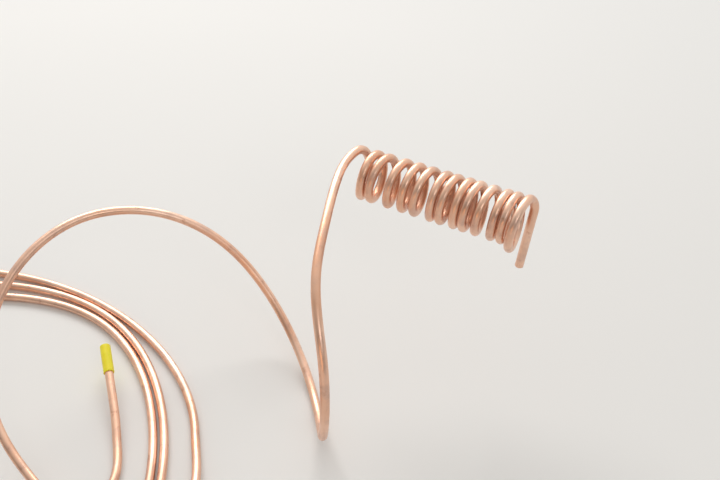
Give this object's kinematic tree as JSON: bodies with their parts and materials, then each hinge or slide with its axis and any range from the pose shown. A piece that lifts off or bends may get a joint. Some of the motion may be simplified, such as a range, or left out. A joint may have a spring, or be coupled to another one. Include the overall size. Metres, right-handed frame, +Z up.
{
  "type": "copper tube coil",
  "caption": "Length of soft copper tube, wound into an open helix at one end and lying in loose loops at the other, with one square-cut end and one capped end.",
  "frame": {"origin": "centre of the bounding box in X and Y, at the floor the loops lie on", "axes": "+X runs along the wound coil's axis towards the bare cut end, +Y points from the loops to the back of the wound coil, +Z is up"},
  "size_m": [0.6054, 0.5493, 0.1664],
  "materials": {
    "copper": "satin",
    "cap_plastic": "matte"
  },
  "bodies": {
    "root": {"copper_tube": "copper", "end_cap": "cap_plastic"}
  },
  "joints": []
}
